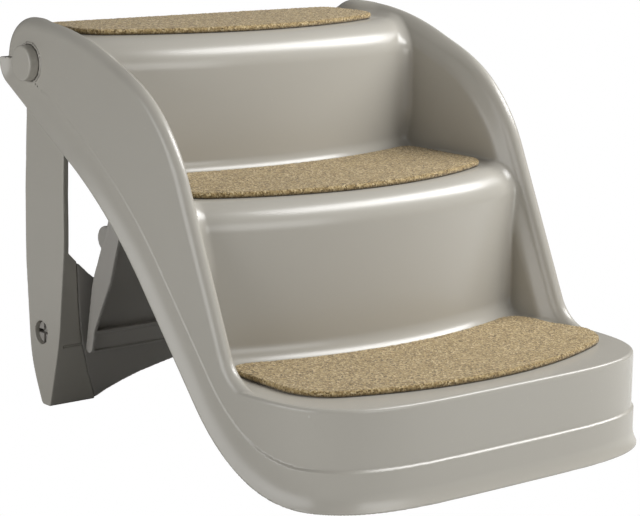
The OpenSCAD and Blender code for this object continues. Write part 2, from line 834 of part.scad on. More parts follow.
// Headed pin that carries one side of the brace
module brace_hinge_pin(s) {
    near = brace_x - hinge_boss_t - gap;
    far = brace_x + gap + bracket_t;
    color(metal_colour) placed() {
        side_bar(s, near - hinge_end_l, far, hinge_y, hinge_z, hinge_r);
        side_bar(s, far, far + hinge_head_h, hinge_y, hinge_z, hinge_head_r);
    }
}

module brace_hinge_pin_left() { brace_hinge_pin(-1); }

module brace_hinge_pin_right() { brace_hinge_pin(1); }

// Bracket under the middle tread: a screwed plate and an ear with the hinge bore
module brace_bracket(s) {
    near = brace_x + gap;
    top = tread2_z - wall_t;
    color(body_colour) placed() difference() {
        union() {
            side_slab(s, near, near + bracket_t) union() {
                translate([hinge_y, hinge_z]) circle(r = brace_end_r);
                polygon([[bracket_front_y, top - bracket_plate_t], [bracket_front_y, top],
                    [bracket_rear_y, top], [hinge_y, hinge_z + brace_end_r],
                    [hinge_y, hinge_z - brace_end_r]]);
            }
            side_slab(s, bracket_plate_in_x, near + join)
                translate([bracket_front_y, top - bracket_plate_t])
                square([bracket_rear_y - bracket_front_y, bracket_plate_t]);
        }
        side_bar(s, near - over, near + over, hinge_y, hinge_z, hinge_r);
        for (y = [bracket_screw_front_y, bracket_screw_back_y])
            translate([s * bracket_screw_x, y, top - over])
                cylinder(h = 2 * over, r = bracket_screw_r);
    }
}

module brace_bracket_left() { brace_bracket(-1); }

module brace_bracket_right() { brace_bracket(1); }

// Four screws up into the middle tread
module brace_bracket_screws() {
    low = tread2_z - wall_t - bracket_plate_t;
    color(metal_colour) placed()
        for (s = [-1, 1], y = [bracket_screw_front_y, bracket_screw_back_y])
            translate([s * bracket_screw_x, y, low]) {
                cylinder(h = bracket_screw_l - join, r = bracket_screw_r);
                translate([0, 0, -bracket_head_h])
                    cylinder(h = bracket_head_h, r = bracket_head_r);
            }
}

// Rubber sole let into a leg's foot
module leg_foot_pad(s) {
    color(rubber_colour) placed()
        translate([s > 0 ? foot_pad_in_x : -foot_pad_out_x, foot_pad_front_y, 0])
        cube([foot_pad_out_x - foot_pad_in_x, foot_pad_back_y - foot_pad_front_y, foot_pad_t]);
}

module leg_foot_pad_left() { leg_foot_pad(-1); }

module leg_foot_pad_right() { leg_foot_pad(1); }

// Rubber foot on a boss under the lowest tread
module base_foot(s) {
    color(rubber_colour) placed() translate([s * base_foot_x, base_foot_y, 0]) {
        cylinder(h = base_foot_h, r = base_foot_r);
        cylinder(h = base_foot_h + base_stem_h - join, r = base_stem_r);
    }
}

module base_foot_left() { base_foot(-1); }

module base_foot_right() { base_foot(1); }

stair_body();
tread_pad_lower();
tread_pad_middle();
tread_pad_upper();
leg_left();
leg_right();
leg_cross_panel();
snap_stud_left();
snap_stud_right();
pivot_cap_left();
pivot_cap_right();
pivot_bush_left();
pivot_bush_right();
pivot_washer_left();
pivot_washer_right();
pivot_screw_left();
pivot_screw_right();
brace_panel();
brace_hinge_pin_left();
brace_hinge_pin_right();
brace_bracket_left();
brace_bracket_right();
brace_bracket_screws();
leg_foot_pad_left();
leg_foot_pad_right();
base_foot_left();
base_foot_right();
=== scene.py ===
"""Folding pet stairs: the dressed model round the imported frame.

The big mouldings are made as distance functions, which give them the soft
blends of moulded plastic. Those functions count millimetres, with Y from the
foremost point of the bottom lip, as the part's source does.
"""
import math

import bpy
import numpy as np
from mathutils import Matrix, Vector


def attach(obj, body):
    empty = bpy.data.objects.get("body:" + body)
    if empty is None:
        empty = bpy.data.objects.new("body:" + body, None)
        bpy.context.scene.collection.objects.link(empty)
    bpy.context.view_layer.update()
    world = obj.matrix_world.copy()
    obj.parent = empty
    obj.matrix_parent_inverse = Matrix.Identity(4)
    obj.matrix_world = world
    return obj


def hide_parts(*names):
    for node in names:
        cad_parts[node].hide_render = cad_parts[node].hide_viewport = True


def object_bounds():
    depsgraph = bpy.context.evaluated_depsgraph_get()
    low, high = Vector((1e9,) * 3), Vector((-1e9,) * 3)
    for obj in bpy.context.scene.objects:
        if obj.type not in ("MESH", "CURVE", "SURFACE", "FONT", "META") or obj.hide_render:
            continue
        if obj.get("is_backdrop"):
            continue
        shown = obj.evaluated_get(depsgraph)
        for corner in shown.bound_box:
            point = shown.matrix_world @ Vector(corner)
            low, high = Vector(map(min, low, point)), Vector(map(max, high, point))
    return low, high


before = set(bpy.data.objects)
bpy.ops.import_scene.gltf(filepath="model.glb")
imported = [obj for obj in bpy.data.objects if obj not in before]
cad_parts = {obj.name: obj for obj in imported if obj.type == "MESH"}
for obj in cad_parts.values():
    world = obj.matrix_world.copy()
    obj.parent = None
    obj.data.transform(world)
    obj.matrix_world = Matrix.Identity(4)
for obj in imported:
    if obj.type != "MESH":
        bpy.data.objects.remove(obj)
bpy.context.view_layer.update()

# Sizes in millimetres
LENGTH = 523.0
SIDE_X, RIM_W = 216.0, 24.0
INNER_X = SIDE_X - RIM_W
FRONT_DEPTH, LIP_OUT = 183.2, 6.5
PLAN_Y, PLAN_POWER = FRONT_DEPTH + LIP_OUT, 4.4
TREAD_Z = (93.0, 245.0, 381.0)
BOW_HALF = 192.0
RISER2_Y, RISER2_BOW, NOSE2_R = 177.5, 39.7, 28
RISER3_Y, RISER3_BOW, NOSE3_R = 347.5, 36.6, 32
PIVOT, SHAFT_R = (474.8, 351.7), 8
STUD, SHANK_R = (494.0, 74.0), 7
HINGE = (388.0, 232.0)
LEG_X, LEG_T = 190.5, 6.5
BRACE_X = 166.0
LATCH_X = 92


# Distance functions
def bow_radius(half, bow):
    return (half * half + bow * bow) / (2 * bow)


RISER2_R, RISER3_R = bow_radius(BOW_HALF, RISER2_BOW), bow_radius(BOW_HALF, RISER3_BOW)
RISER2_C, RISER3_C = RISER2_Y + RISER2_R, RISER3_Y + RISER3_R


def both(a, b, r):
    """Where both solids are, with an edge of radius r."""
    return np.minimum(np.maximum(a, b), -r) + np.hypot(np.maximum(a + r, 0), np.maximum(b + r, 0))


def either(a, b, r):
    """Where either solid is, with a hollow corner of radius r."""
    return -both(-a, -b, r)


def within(v, ends):
    """Between two ends."""
    return np.maximum(ends[0] - v, v - ends[1])


def about(v, middle, half):
    """Within half a width of a middle."""
    return np.abs(v - middle) - half


def ramp(v, low, high):
    """Rises smoothly from 0 at low to 1 at high."""
    t = np.clip((v - low) / (high - low), 0, 1)
    return t * t * (3 - 2 * t)


def outline(corners, closed=False):
    """Lines and arcs of an outline with rounded corners (y, z, radius); the solid is on its left."""
    c = [np.array(k, float) for k in corners]
    n = len(c)
    reach, turn = [0.0] * n, [None] * n
    for i in range(n):
        if not closed and i in (0, n - 1):
            continue
        u, v = c[i - 1][:2] - c[i][:2], c[(i + 1) % n][:2] - c[i][:2]
        u, v = u / np.hypot(*u), v / np.hypot(*v)
        half = math.acos(float(np.clip(u @ v, -1, 1))) / 2
        reach[i], turn[i] = max(c[i][2], 1e-3) / math.tan(half), (u, v, half)
    scale = []
    for i in range(n):
        a, b = (i - 1) % n, (i + 1) % n
        room = [1.0]
        for k in (a, b):
            if turn[i] is not None and reach[i] + reach[k] > 0:
                room.append(0.99 * float(np.hypot(*(c[i] - c[k])[:2])) / (reach[i] + reach[k]))
        scale.append(min(room))
    parts, ends = [], {}
    for i in range(n):
        if turn[i] is None:
            ends[i] = (c[i][:2], c[i][:2])
            continue
        u, v, half = turn[i]
        r = max(c[i][2], 1e-3) * scale[i]
        t = r / math.tan(half)
        first, last = c[i][:2] + u * t, c[i][:2] + v * t
        middle = (u + v) / np.hypot(*(u + v))
        centre = c[i][:2] + middle * r / math.sin(half)
        left = u[0] * v[1] - u[1] * v[0] < 0
        facing = math.atan2(-middle[1], -middle[0])
        parts.append(("arc", centre, r, facing, math.pi / 2 - half, 1 if left else -1))
        ends[i] = (first, last)
    for i in range(n if closed else n - 1):
        p, q = ends[i][1], ends[(i + 1) % n][0]
        length = float(np.hypot(*(q - p)))
        parts.append(("line", p, (q - p) / length, length))
    return parts


def off(parts, y, z):
    """Signed distance to an outline, positive outside."""
    best = None
    for part in parts:
        if part[0] == "line":
            _, p, d, length = part
            ry, rz = y - float(p[0]), z - float(p[1])
            t = np.clip(ry * float(d[0]) + rz * float(d[1]), 0, length)
            dist = np.hypot(ry - t * float(d[0]), rz - t * float(d[1]))
            value = np.where(float(d[0]) * rz - float(d[1]) * ry > 0, -dist, dist)
        else:
            _, c, r, facing, half, sign = part
            ry, rz = y - float(c[0]), z - float(c[1])
            turned = np.abs((np.arctan2(rz, ry) - facing + math.pi) % (2 * math.pi) - math.pi)
            value = np.where(turned <= half, sign * (np.hypot(ry, rz) - r), 1e6)
        best = value if best is None else np.where(np.abs(value) < np.abs(best), value, best)
    return best


def plan(ax, y):
    """Distance to the plan of the body: a nearly square front that runs straight back."""
    u = np.maximum(ax, 1e-3) / SIDE_X
    v = np.maximum(PLAN_Y - y, 0) / FRONT_DEPTH
    g = np.maximum((u ** PLAN_POWER + v ** PLAN_POWER) ** (1 / PLAN_POWER), 1e-3)
    return (g - 1) / np.hypot((u / g) ** (PLAN_POWER - 1) / SIDE_X,
                              (v / g) ** (PLAN_POWER - 1) / FRONT_DEPTH)


# Mesh making
def net(distance, low, high, cell):
    """Vertices and quads near the zero surface of a distance function."""
    axes = [np.arange(l, h + cell, cell, dtype=np.float32) for l, h in zip(low, high)]
    d = distance(axes[0][:, None, None], axes[1][None, :, None], axes[2][None, None, :])
    d = np.ascontiguousarray(np.broadcast_to(d, [len(a) for a in axes]), dtype=np.float32)
    inside = d < 0
    n = [k - 1 for k in d.shape]
    count = np.zeros(n, np.int8)
    for i in (0, 1):
        for j in (0, 1):
            for k in (0, 1):
                count += inside[i:n[0] + i, j:n[1] + j, k:n[2] + k]
    cells = np.argwhere((count > 0) & (count < 8))
    number = np.full(n, -1, np.int32)
    number[tuple(cells.T)] = np.arange(len(cells))
    total, hits = np.zeros((len(cells), 3)), np.zeros(len(cells))
    for a in range(3):
        b, c = (a + 1) % 3, (a + 2) % 3
        for p in (0, 1):
            for q in (0, 1):
                one = cells.copy()
                one[:, b] += p
                one[:, c] += q
                two = one.copy()
                two[:, a] += 1
                d1, d2 = d[tuple(one.T)], d[tuple(two.T)]
                cross = (d1 < 0) != (d2 < 0)
                t = np.where(cross, d1 / np.where(cross, d1 - d2, 1), 0)
                total[cross] += one[cross]
                total[:, a] += np.where(cross, t, 0)
                hits += cross
    points = np.array(low) + cell * total / hits[:, None]
    quads = []
    for a in range(3):
        b, c = (a + 1) % 3, (a + 2) % 3
        near, far = [slice(None)] * 3, [slice(None)] * 3
        near[a], far[a] = slice(0, -1), slice(1, None)
        e = np.argwhere(inside[tuple(near)] != inside[tuple(far)])
        e = e[(e[:, b] > 0) & (e[:, b] < n[b]) & (e[:, c] > 0) & (e[:, c] < n[c])]
        ring = []
        for p, q in ((1, 1), (0, 1), (0, 0), (1, 0)):
            k = e.copy()
            k[:, b] -= p
            k[:, c] -= q
            ring.append(number[tuple(k.T)])
        ring = np.stack(ring, 1)
        outward = inside[tuple(e.T)]
        ring[~outward] = ring[~outward][:, ::-1]
        quads.append(ring)
    return points, np.concatenate(quads)


def slope(distance, p, h):
    """Gradient of a distance function at points."""
    g = np.empty_like(p)
    for a in range(3):
        step = np.zeros(3)
        step[a] = h
        g[:, a] = (distance(*(p + step).T) - distance(*(p - step).T)) / (2 * h)
    return g


def settle(distance, p, cell, turns):
    """Moves points onto the zero surface."""
    for _ in range(turns):
        g = slope(distance, p, 0.05)
        size = np.maximum((g * g).sum(1), 0.2)
        move = np.clip(distance(*p.T) / size, -cell, cell) * 0.9
        p = p - g * move[:, None]
    return p


def to_metres(p):
    return (p - np.array((0, LENGTH / 2, 0))) / 1000


def mesh_object(name, points, faces, normals=None):
    mesh = bpy.data.meshes.new(name)
    mesh.from_pydata(to_metres(points).tolist(), [], faces.tolist())
    mesh.update()
    mesh.polygons.foreach_set("use_smooth", [True] * len(mesh.polygons))
    if normals is not None:
        mesh.normals_split_custom_set_from_vertices(normals.tolist())
    thing = bpy.data.objects.new(name, mesh)
    bpy.context.scene.collection.objects.link(thing)
    return thing


def reduced(thing, ratio):
    """Points and triangles of an object after a collapse to a share of its triangles."""
    modifier = thing.modifiers.new("reduce", "DECIMATE")
    modifier.ratio = ratio
    graph = bpy.context.evaluated_depsgraph_get()
    mesh = bpy.data.meshes.new_from_object(thing.evaluated_get(graph))
    mesh.calc_loop_triangles()
    points = np.empty(len(mesh.vertices) * 3)
    mesh.vertices.foreach_get("co", points)
    faces = np.empty(len(mesh.loop_triangles) * 3, np.int32)
    mesh.loop_triangles.foreach_get("vertices", faces)
    old = thing.data
    bpy.data.objects.remove(thing)
    bpy.data.meshes.remove(old)
    bpy.data.meshes.remove(mesh)
    points = points.reshape(-1, 3) * 1000 + np.array((0, LENGTH / 2, 0))
    return points, faces.reshape(-1, 3)


def right_half(points, faces, cell):
    """The faces on the right of X = 0, and their points."""
    faces = faces[points[faces, 0].min(1) > -cell / 4]
    used, faces = np.unique(faces, return_inverse=True)
    return points[used], faces.reshape(-1, 4)


def on_middle(points, faces):
    """Puts the open edge of a half back on X = 0."""
    edges = np.sort(np.concatenate([faces[:, (i, (i + 1) % 3)] for i in range(3)]), axis=1)
    edges, count = np.unique(edges, axis=0, return_counts=True)
    points[np.unique(edges[count == 1]), 0] = 0
    return points


def moulded(name, distance, low, high, cell, most=190000, turns=3, rough=None, half=False):
    """One piece, or two mirrored halves, from a distance function, with the function's normals."""
    if half:
        low = (-1.5 * cell, *low[1:])
    points, faces = net(distance, low, high, cell)
    if half:
        points, faces = right_half(points, faces, cell)
    points = settle(distance, points, cell / 2, turns)
    # a half is always turned into triangles here, which its open edge needs below
    if half or 2 * len(faces) > most:
        points, faces = reduced(mesh_object(name, points, faces), min(1, most / (2 * len(faces))))
        points = settle(distance, points, cell / 2, 1)
    if rough is not None:
        points = rough(points, slope(distance, points, 0.1))
        return mesh_object(name, points, faces)
    normals = slope(distance, points, 0.25)
    normals /= np.maximum(np.linalg.norm(normals, axis=1), 1e-6)[:, None]
    if not half:
        return mesh_object(name, points, faces, normals)
    points = on_middle(points, faces)
    other = np.array((-1, 1, 1))
    return (mesh_object(name + "_right", points, faces, normals),
            mesh_object(name + "_left", points * other, faces[:, ::-1], normals * other))


# Body
FAR = 600.0
TOP = outline([(522.5, -FAR, 0), (522.5, 394.5, 40), (409, 396, 335), (253, 335, 180),
               (145.5, 93, 45), (-FAR, 93, 0)])
LOW = outline([(-FAR, 0, 0), (130, 0, 200), (328.8, 224.6, 480), (522.5, 336.6, 26), (522.5, FAR, 0)])
BAND = outline([(FAR, 328, 0), (447.6, 328, 60), (309.56, 248.13, 510), (124.19, 38.7, 165.6),
                (-FAR, 38.7, 0)])
WALL_T, SLAB_R, EDGE_R, FLOOR_R = 4.0, 3.5, 0.4, 2.2
RIM_R, RIM_TOP_R, RIM_TOP_Z = 8, 12, (330, 365)
LEAN_OUT, LEAN_DEPTH, LEAN_END_Y = 9.0, (-26, -3), (440, 480)
CROWN_Y, CROWN_R = 509, 4
COVE2_R, COVE3_R = 20, 15
RIM_FOOT_Y = (132, 170)
FILLET_R, FILLET_SET, CREASE_R = 15.6, 4.5, 0.8
FILLET3_MORE, FILLET3_Z, FILLET3_END_Z = 11, (250, 290), (345, 378)
CORNER_Y = (40, 160)
BAND_OUT, BAND_LESS, BAND_SLOPE = 2.4, 1.7, (0.2, -2.4)
FLARE_OUT, FLARE_MORE, FLARE_H, FLARE_MORE_H = 5.2, 1.4, 17, 8
FLARE_TOP_Z, FLARE_STEEP = 354, 0.85
OVERLAP = 3
SKIRT_END_Y, SKIRT_RISE = (150, 250), 25
CAP_SEAT_R, CAP_RING_R, BUSH_SEAT_R, BOSS_R = 18.3, 20.5, 10.5, 15
BACK_Y, BACK_Z, BACK_X = 495, 361, 200
RIB_X, RIB_HALF_T, RIB_Z, RIB_END_Y = 65, 1.9, (59, 91), 135
POST, POST_R, POST_Z = (125, 46), 11, (5, 91)


def steps_distance(ax, y, z):
    """Three treads with the bowed risers between them."""
    step2 = both(z - TREAD_Z[1], np.hypot(ax, y - RISER2_C) - RISER2_R, NOSE2_R)
    step3 = both(z - TREAD_Z[2], np.hypot(ax, y - RISER3_C) - RISER3_R, NOSE3_R)
    step3 = both(step3, y - CROWN_Y, CROWN_R)
    return either(either(z - TREAD_Z[0], step2, COVE2_R), step3, COVE3_R)


def wall_distance(ax, y, z, around, top):
    """The side walls, with round rims that their inner faces lean out to."""
    rim = RIM_R + (RIM_TOP_R - RIM_R) * ramp(z, *RIM_TOP_Z)
    lean = INNER_X + LEAN_OUT * ramp(top, *LEAN_DEPTH) * (1 - ramp(y, *LEAN_END_Y)) - ax
    return np.maximum(both(around, top, rim), both(lean, top, rim))


def trim_distance(y, z, around, low):
    """The raised band and the flared lip along the lower edge, flatter beside the walls."""
    beside = ramp(y, *CORNER_Y)
    step, edge = BAND_OUT - BAND_LESS * beside, off(BAND, y, z)
    band = np.maximum(around - step * ramp(edge, *BAND_SLOPE),
                      np.maximum(edge - OVERLAP, -around - OVERLAP))
    tall = FLARE_H + FLARE_MORE_H * beside
    flare = around - step - (FLARE_OUT + FLARE_MORE * beside) * np.clip(1 + low / tall, 0, 1) ** 2
    lip = np.maximum(np.maximum(flare * FLARE_STEEP, -low - tall),
                     np.maximum(-around - OVERLAP, z - FLARE_TOP_Z))
    return np.minimum(band, lip)


def fittings_distance(ax, y, z, around, pivot):
    """Inside the shell: the pivots' bosses, the ribs and the posts of the front feet."""
    boss = both(pivot - BOSS_R, np.maximum(LEG_X + 0.5 - ax, ax - SIDE_X + 3), 0.6)
    rib = np.maximum(np.maximum(about(ax, RIB_X, RIB_HALF_T), within(z, RIB_Z)),
                     np.maximum(around + 2, y - RIB_END_Y))
    post = np.maximum(np.hypot(ax - POST[0], y - POST[1]) - POST_R, within(z, POST_Z))
    return np.minimum(boss, np.minimum(rib, post))


def body_distance(x, y, z):
    ax = np.abs(x)
    around, top, low = plan(ax, y), off(TOP, y, z), off(LOW, y, z)
    pivot = np.hypot(y - PIVOT[0], z - PIVOT[1])
    steps, wall = steps_distance(ax, y, z), wall_distance(ax, y, z, around, top)
    deep = ramp(y, *RIM_FOOT_Y)
    fillet = (EDGE_R + FILLET_R * deep
              + FILLET3_MORE * ramp(z, *FILLET3_Z) * (1 - ramp(z, *FILLET3_END_Z)))
    inner = np.maximum(np.maximum(steps, ax - INNER_X - 5), around + OVERLAP)
    solid = either(either(inner, wall + FILLET_SET * deep, fillet), wall, EDGE_R + CREASE_R * deep)
    slab = both(around, z - TREAD_Z[0], SLAB_R)
    hollow = np.minimum(np.minimum(np.maximum(steps, around), wall), slab) + WALL_T
    skin = np.minimum(np.minimum(solid, slab), trim_distance(y, z, around, low))
    below = np.minimum(low, np.maximum(low - SKIRT_RISE * ramp(y, *SKIRT_END_Y), ax - INNER_X - 3))
    ring = np.maximum(both(pivot - CAP_RING_R, ax - SIDE_X - 1.5, 1.0), SIDE_X - 5 - ax)
    skin = np.minimum(both(skin, below, FLOOR_R), ring)
    skin = np.maximum(skin, -np.maximum(pivot - CAP_SEAT_R, SIDE_X - ax))
    back = np.maximum(np.maximum(z - BACK_Z, BACK_Y - y), ax - BACK_X)
    skin = np.maximum(np.maximum(skin, -hollow), -back)
    skin = np.minimum(skin, fittings_distance(ax, y, z, around, pivot))
    return np.maximum(skin, -np.maximum(pivot - BUSH_SEAT_R, LEG_X - 1 - ax))


# Carpet pads
PAD_T, PAD_EDGE_R, DRAPE_X, DRAPE_R = 6, 2.2, 183, 9
WIDE_Y, DRAPE_Y = (150, 105), (118, 150)


def pad_distance(low, half, wide, front, bow, corner, rear, nose):
    """A carpet pad: it is wider in front of the right rim's foot and bends over the nosing."""
    radius = bow_radius(BOW_HALF, bow)
    centre, top_r, nose_r = nose

    def distance(x, y, z):
        ax = np.abs(x)
        side = ax - half - wide * ramp(y, *WIDE_Y) * (x > 0)
        edge = both(np.hypot(x, y - front - radius) - radius, side, corner)
        edge = both(edge, rear(x, y), corner)
        over = np.clip(ax - DRAPE_X, 0, DRAPE_R - 0.1) * ramp(y, *DRAPE_Y)
        bend = np.clip(np.hypot(x, y - centre) - top_r, 0, nose_r * 0.8)
        level = (low + DRAPE_R - np.sqrt(DRAPE_R ** 2 - over * over)
                 - nose_r + np.sqrt(nose_r ** 2 - bend * bend))
        return both(edge, np.abs(z - level - PAD_T / 2) - PAD_T / 2, PAD_EDGE_R)
    return distance


def behind_riser(centre, radius):
    return lambda x, y: radius + 10.5 - np.hypot(x, y - centre)


# Legs
LEG = outline([(476, 0, 3), (491, 0, 6), (514, 45, 120), (523, 150, 300), (523, 318, 30),
               (498.8, 345, 15), (498.8, 375.7, 24), (450.8, 375.7, 24), (453.4, 300, 300),
               (450.8, 170, 300), (460, 75, 250)], True)
CREASE_X, CREASE_H = (142, 155, 165, 170, 174, 178, 178), (0, 32, 61, 80, 110, 150, 400)
ARCH_X, ARCH_H = (0, 40, 68, 90, 112, 130, 144), (36.5, 33, 27, 22, 15, 8, 1)
TOP_X, TOP_H = (0, 40, 90, 130, 158, 176, 400), (109, 110, 114, 122, 134, 150, 150)
SPLAY_Z, SPLAY_X = (0, 60, 220, 330), (6.0, 4.3, 3.5, 0)
STRIP_T, STRIP_TOP = 4, (178, 152)
LEAN_X, LEAN_Z = 0.94, 0.93
SOLE_T, FLANGE_Z, FLANGE_W = 5, (6, 300), 12
SEAM_Z, SEAM_HALF, SEAM_DEEP = 64, 1.0, 1.2
STUD_SEAT_R, HEAD_R = 12, 11.7
FOOT_PAD, FOOT_PAD_HALF, FOOT_PAD_DEEP = (166, 483), (16, 4), 3


def splay(z):
    """How far the leg plates stand out below the walls."""
    return np.interp(z, SPLAY_Z, SPLAY_X)


def from_face(y, z, near, deep):
    """Between two depths behind the legs' front outline."""
    return np.maximum(off(LEG, y - near, z), -off(LEG, y - deep, z))


def leg_distance(side):
    def distance(x, y, z):
        ax = side * x
        shape = off(LEG, y, z)
        outer = LEG_X + splay(z)
        plate = both(shape, np.abs(ax - outer + LEG_T / 2) - LEG_T / 2, 1.2)
        crease = (np.interp(z, CREASE_H, CREASE_X) - ax) * LEAN_X
        high = ((z - STRIP_TOP[1]) - (ax - STRIP_TOP[0])) * 0.7
        span = np.maximum(np.maximum(crease, high), ax - outer + 1)
        front = np.maximum(shape, -off(LEG, y - STRIP_T, z))
        strip = both(np.minimum(front, np.maximum(shape, z - SOLE_T)), span, 0.8)
        seam = np.maximum(about(z, SEAM_Z, SEAM_HALF), -off(LEG, y - SEAM_DEEP, z))
        strip = np.maximum(strip, -np.maximum(seam, ax - outer + LEG_T))
        rear = np.maximum(np.maximum(shape, -off(LEG, y + STRIP_T, z)), within(z, FLANGE_Z))
        flange = both(rear, np.maximum(LEG_X - LEG_T - FLANGE_W - ax, ax - outer + 3), 0.8)
        whole = either(np.minimum(plate, strip), flange, 1.0)
        stud = np.hypot(y - STUD[0], z - STUD[1]) - STUD_SEAT_R
        pad = np.maximum(about(ax, FOOT_PAD[0], FOOT_PAD_HALF[0]),
                         np.maximum(about(y, FOOT_PAD[1], FOOT_PAD_HALF[1]), z - FOOT_PAD_DEEP))
        axle = np.hypot(y - PIVOT[0], z - PIVOT[1]) - SHAFT_R
        whole = both(whole, -np.maximum(stud, LEG_X - LEG_T - 1 - ax), 0.5)
        return np.maximum(np.maximum(whole, -pad), -np.maximum(axle, LEG_X - LEG_T - 5 - ax))
    return distance


SHELF_Z, SHELF_X, SHELF_DEEP = 102, 156, 16
EAR_Z, EAR_END_Y, EAR_R = (62, 86), 494, 15
EAR_X, EAR_HALF_T, EAR_BACK, EAR_DEEP = 180.7, 3, 4.3, 8.3
SLOT_Z, SLOT_HALF = 79, (14, 11)


def panel_distance(x, y, z):
    ax = np.abs(x)
    low = (np.interp(ax, ARCH_X, ARCH_H) - z) * LEAN_Z
    high = (z - np.interp(ax, TOP_X, TOP_H)) * LEAN_Z
    side = (ax + 0.3 - np.interp(z, CREASE_H, CREASE_X)) * LEAN_X
    skin = from_face(y, z, 0, STRIP_T)
    whole = both(skin, both(both(low, high, 2), side, 0.4), 0.8)
    shelf = np.maximum(from_face(y, z, 3, SHELF_DEEP),
                       np.maximum(about(z, SHELF_Z, 2), ax - SHELF_X))
    ear_z = within(z, EAR_Z)
    back = np.maximum(np.maximum(from_face(y, z, EAR_BACK, EAR_DEEP), ear_z),
                      np.maximum(SHELF_X - 4 - ax, ax - EAR_X - EAR_HALF_T))
    link = np.maximum(np.maximum(from_face(y, z, 3, EAR_DEEP), ear_z), about(ax, SHELF_X, 4))
    stud = np.hypot(y - STUD[0], z - STUD[1])
    ear = np.maximum(np.maximum(off(LEG, y - EAR_BACK, z), ear_z), y - EAR_END_Y)
    ear = np.maximum(np.minimum(stud - EAR_R, ear), SHANK_R - stud)
    ear = both(ear, about(ax, EAR_X, EAR_HALF_T), 0.6)
    whole = np.minimum(np.minimum(np.minimum(whole, shelf), back), np.minimum(link, ear))
    slot = np.maximum(about(ax, LATCH_X, SLOT_HALF[0]), about(z, SLOT_Z, SLOT_HALF[1]))
    return both(whole, -slot, 0.6)


# Brace
BRACE = outline([(446, 55, 6), (456, 59, 4), (443, 132, 80), (425, 172, 60), (411, 205, 60),
                 (397, 241, 9), (379, 241, 9), (396, 182, 200), (411, 137, 60), (440, 82, 30)], True)
TRAY_T, TRAY_SET, WEB_TOP_Z, FRONT_TOP_Z = 4, 3, 223, 80
FLOOR_TOP_Z, RIDGE_Z, RIDGE_HALF, RIDGE_R = 60, 79.5, 2, 1.4
LOBE, LOBE_R, END_T = (420, 179), 13, 4
HUB_R, HUB_T, PIN_SEAT_R = 9, 8, 4.05
TONGUE, TONGUE_HALF = (457.25, 84), (11, 9.25, 2)


def brace_distance(x, y, z):
    ax = np.abs(x)
    shape = off(BRACE, y, z)
    inside = ax - BRACE_X
    web = np.maximum(np.maximum(shape, -off(BRACE, y + TRAY_T, z)), z - WEB_TOP_Z)
    front = np.maximum(shape, off(BRACE, y - TRAY_SET, z))
    front = np.maximum(np.maximum(front, -off(BRACE, y - TRAY_SET - TRAY_T, z)), z - FRONT_TOP_Z)
    floor = both(shape, z - FLOOR_TOP_Z, RIDGE_R)
    ridge = both(shape, about(z, RIDGE_Z, RIDGE_HALF), RIDGE_R)
    tray = either(np.minimum(web, front), np.minimum(floor, ridge), 1.0)
    ends = np.minimum(shape, np.hypot(y - LOBE[0], z - LOBE[1]) - LOBE_R)
    ends = both(ends, np.abs(ax - BRACE_X + END_T / 2) - END_T / 2, 0.9)
    hinge = np.hypot(y - HINGE[0], z - HINGE[1])
    hub = both(hinge - HUB_R, np.abs(ax - BRACE_X + HUB_T / 2) - HUB_T / 2, 0.6)
    whole = either(np.minimum(both(tray, inside, 0.9), hub), ends, 1.0)
    tongue = np.maximum(about(ax, LATCH_X, TONGUE_HALF[0]), about(z, TONGUE[1], TONGUE_HALF[2]))
    tongue = both(tongue, about(y, TONGUE[0], TONGUE_HALF[1]), 0.6)
    whole = np.minimum(whole, tongue)
    return np.maximum(whole, -np.maximum(hinge - PIN_SEAT_R, BRACE_X - 12 - ax))


# Small pieces
SHANK_X, HEAD_X, CROSS_HALF, CROSS_X = (173.7, 185), (184, 190.3), 2.0, 184.6
SHAFT_X, CAP_X, CAP_R, CAP_TAPER, CAP_EDGE_R = (184, 218), (216.3, 227), 17.9, 0.05, 1.8
BORE_R, BORE_END_X = 2.5, 200


def stud_distance(side):
    def distance(x, y, z):
        ax = side * x
        ry, rz = y - STUD[0], z - STUD[1]
        r = np.hypot(ry, rz)
        shank = np.maximum(r - SHANK_R, within(ax, SHANK_X))
        head = both(r - HEAD_R, within(ax, HEAD_X), 0.9)
        cross = np.maximum(np.minimum(np.abs(ry), np.abs(rz)) - CROSS_HALF, CROSS_X - ax)
        return both(np.minimum(shank, head), -cross, 0.3)
    return distance


def cap_distance(side):
    def distance(x, y, z):
        ax = side * x
        r = np.hypot(y - PIVOT[0], z - PIVOT[1])
        shaft = np.maximum(r - SHAFT_R, within(ax, SHAFT_X))
        taper = CAP_TAPER * np.maximum(ax - SIDE_X - 1, 0)
        head = both(r - CAP_R + taper, within(ax, CAP_X), CAP_EDGE_R)
        bore = np.maximum(r - BORE_R, ax - BORE_END_X)
        return np.maximum(np.minimum(shaft, head), -bore)
    return distance


# Materials
def start(name):
    m = bpy.data.materials.new(name)
    m.use_nodes = True
    t = m.node_tree
    t.nodes.clear()
    out = t.nodes.new("ShaderNodeOutputMaterial")
    shader = t.nodes.new("ShaderNodeBsdfPrincipled")
    t.links.new(shader.outputs[0], out.inputs[0])
    place = t.nodes.new("ShaderNodeTexCoord").outputs["Object"]
    return m, t, shader, place


def noise(t, place, scale, detail=2.0, rough=0.5):
    n = t.nodes.new("ShaderNodeTexNoise")
    n.inputs["Scale"].default_value = scale
    n.inputs["Detail"].default_value = detail
    n.inputs["Roughness"].default_value = rough
    t.links.new(place, n.inputs["Vector"])
    return n.outputs["Fac"]


def mapped(t, value, a, b, low=0.3, high=0.7):
    n = t.nodes.new("ShaderNodeMapRange")
    t.links.new(value, n.inputs["Value"])
    for k, v in (("From Min", low), ("From Max", high), ("To Min", a), ("To Max", b)):
        n.inputs[k].default_value = v
    return n.outputs["Result"]


